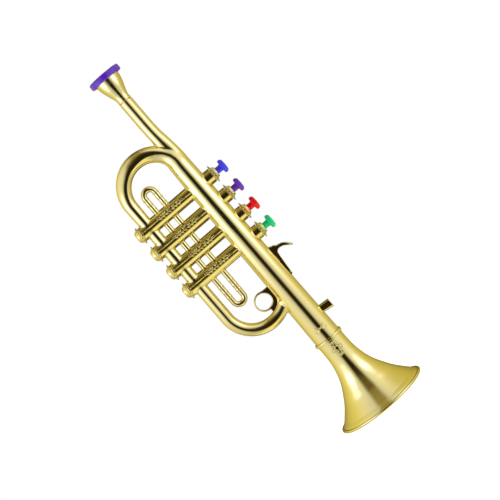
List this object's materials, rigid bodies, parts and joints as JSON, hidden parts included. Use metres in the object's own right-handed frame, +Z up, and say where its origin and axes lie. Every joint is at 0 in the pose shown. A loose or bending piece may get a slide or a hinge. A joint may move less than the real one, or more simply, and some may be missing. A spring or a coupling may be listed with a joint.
{
  "type": "toy trumpet",
  "caption": "Toy trumpet of gold-plated plastic halves with a flared bell, sprung coloured keys, a violet mouthpiece rim, a finger ring and a hook.",
  "frame": {"origin": "centre of the whole outline's box on the plane of the bell's rim, where the trumpet stands", "axes": "+Z up the main tube from the bell to the mouthpiece, +X the way the keys point, -Y the pictured side"},
  "size_m": [0.1128, 0.0872, 0.37],
  "materials": {
    "gold_plating": "moulded plastic, electroplated bright gold",
    "violet_rim": "glossy violet plastic, coloured through",
    "blue_key": "glossy blue plastic, coloured through",
    "violet_key": "glossy violet plastic, coloured through",
    "red_key": "glossy red plastic, coloured through",
    "green_key": "glossy green plastic, coloured through",
    "pad_rubber": "soft black rubber",
    "spring_steel": "bare spring wire",
    "reed_block": "plain cream plastic",
    "reed_brass": "thin rolled brass"
  },
  "bodies": {
    "instrument": {"front_shell": "gold_plating", "rear_shell": "gold_plating", "bell": "gold_plating", "mouthpiece_cup": "gold_plating", "pinky_hook": "gold_plating", "finger_ring": "gold_plating", "lyre_post": "gold_plating", "top_cap_1": "gold_plating", "top_cap_2": "gold_plating", "top_cap_3": "gold_plating", "top_cap_4": "gold_plating", "bottom_cap_1": "gold_plating", "bottom_cap_2": "gold_plating", "bottom_cap_3": "gold_plating", "bottom_cap_4": "gold_plating", "mouthpiece_rim": "violet_rim", "return_spring_1": "spring_steel", "return_spring_2": "spring_steel", "return_spring_3": "spring_steel", "return_spring_4": "spring_steel", "reed_block_1": "reed_block", "reed_block_2": "reed_block", "reed_block_3": "reed_block", "reed_block_4": "reed_block", "reed_1": "reed_brass", "reed_2": "reed_brass", "reed_3": "reed_brass", "reed_4": "reed_brass"},
    "blue_key": {"key_1": "blue_key", "valve_pad_1": "pad_rubber"},
    "violet_key": {"key_2": "violet_key", "valve_pad_2": "pad_rubber"},
    "red_key": {"key_3": "red_key", "valve_pad_3": "pad_rubber"},
    "green_key": {"key_4": "green_key", "valve_pad_4": "pad_rubber"}
  },
  "joints": [
    {"name": "blue_key_press", "type": "slide", "parent": "instrument", "child": "blue_key", "axis": [-1, 0, 0], "range_m": [0, 0.004], "stiffness_N_per_m": 150, "springref_m": -0.003, "deforming": ["return_spring_1"]},
    {"name": "violet_key_press", "type": "slide", "parent": "instrument", "child": "violet_key", "axis": [-1, 0, 0], "range_m": [0, 0.004], "stiffness_N_per_m": 150, "springref_m": -0.003, "deforming": ["return_spring_2"]},
    {"name": "red_key_press", "type": "slide", "parent": "instrument", "child": "red_key", "axis": [-1, 0, 0], "range_m": [0, 0.004], "stiffness_N_per_m": 150, "springref_m": -0.003, "deforming": ["return_spring_3"]},
    {"name": "green_key_press", "type": "slide", "parent": "instrument", "child": "green_key", "axis": [-1, 0, 0], "range_m": [0, 0.004], "stiffness_N_per_m": 150, "springref_m": -0.003, "deforming": ["return_spring_4"]}
  ]
}
